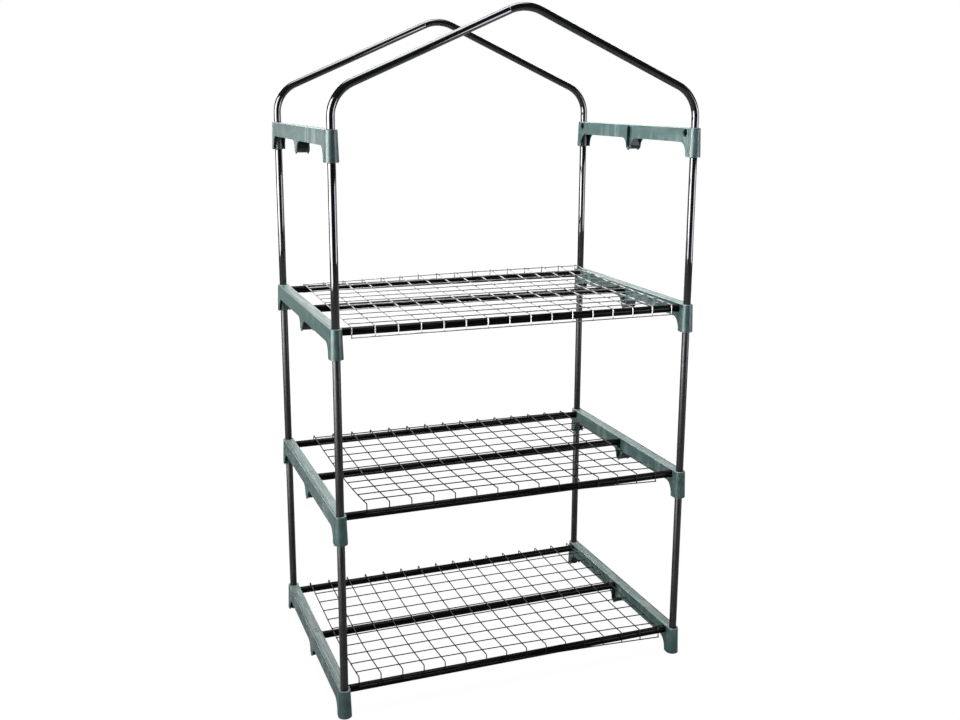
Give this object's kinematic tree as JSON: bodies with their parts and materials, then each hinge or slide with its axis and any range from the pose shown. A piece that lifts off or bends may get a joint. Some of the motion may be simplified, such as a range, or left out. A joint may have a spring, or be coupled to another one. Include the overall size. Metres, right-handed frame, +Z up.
{
  "type": "portable greenhouse frame",
  "caption": "Portable tiered greenhouse frame of push-fit steel tubes in moulded connectors, with bent roof arches and lift-off wire mesh shelves.",
  "frame": {"origin": "middle of the footprint, on the ground under the four feet", "axes": "+Z up, +X along the shelves to the right seen from the front, -Y to the front"},
  "size_m": [0.6908, 0.4848, 1.235],
  "materials": {
    "connector_plastic": "moulded grey-green plastic with a soft sheen",
    "gloss_enamel": "glossy green-black enamel on steel tube",
    "satin_enamel": "satin green-black enamel on steel tube",
    "rail_enamel": "semi-gloss black-green enamel on steel tube",
    "mesh_wire": "bright drawn wire, spot welded"
  },
  "bodies": {
    "frame": {"connector_left_bottom": "connector_plastic", "connector_left_middle": "connector_plastic", "connector_left_top": "connector_plastic", "connector_left_eaves": "connector_plastic", "connector_right_bottom": "connector_plastic", "connector_right_middle": "connector_plastic", "connector_right_top": "connector_plastic", "connector_right_eaves": "connector_plastic", "upright_front_left_bottom": "satin_enamel", "upright_front_right_bottom": "satin_enamel", "upright_rear_left_bottom": "satin_enamel", "upright_rear_right_bottom": "satin_enamel", "upright_front_left_middle": "satin_enamel", "upright_front_right_middle": "satin_enamel", "upright_rear_left_middle": "satin_enamel", "upright_rear_right_middle": "satin_enamel", "upright_front_left_top": "gloss_enamel", "upright_front_right_top": "gloss_enamel", "upright_rear_left_top": "gloss_enamel", "upright_rear_right_top": "gloss_enamel", "shelf_rail_front_bottom": "rail_enamel", "shelf_rail_centre_bottom": "rail_enamel", "shelf_rail_rear_bottom": "rail_enamel", "shelf_rail_front_middle": "rail_enamel", "shelf_rail_centre_middle": "rail_enamel", "shelf_rail_rear_middle": "rail_enamel", "shelf_rail_front_top": "rail_enamel", "shelf_rail_centre_top": "rail_enamel", "shelf_rail_rear_top": "rail_enamel", "arch_front_left": "gloss_enamel", "arch_front_right": "gloss_enamel", "arch_rear_left": "gloss_enamel", "arch_rear_right": "gloss_enamel"},
    "shelf_bottom": {"mesh_shelf_bottom": "mesh_wire"},
    "shelf_middle": {"mesh_shelf_middle": "mesh_wire"},
    "shelf_top": {"mesh_shelf_top": "mesh_wire"}
  },
  "joints": [
    {"name": "lift_shelf_bottom", "type": "slide", "parent": "frame", "child": "shelf_bottom", "axis": [0, 0, 1], "range_m": [0, 0.12]},
    {"name": "lift_shelf_middle", "type": "slide", "parent": "frame", "child": "shelf_middle", "axis": [0, 0, 1], "range_m": [0, 0.12]},
    {"name": "lift_shelf_top", "type": "slide", "parent": "frame", "child": "shelf_top", "axis": [0, 0, 1], "range_m": [0, 0.12]}
  ]
}
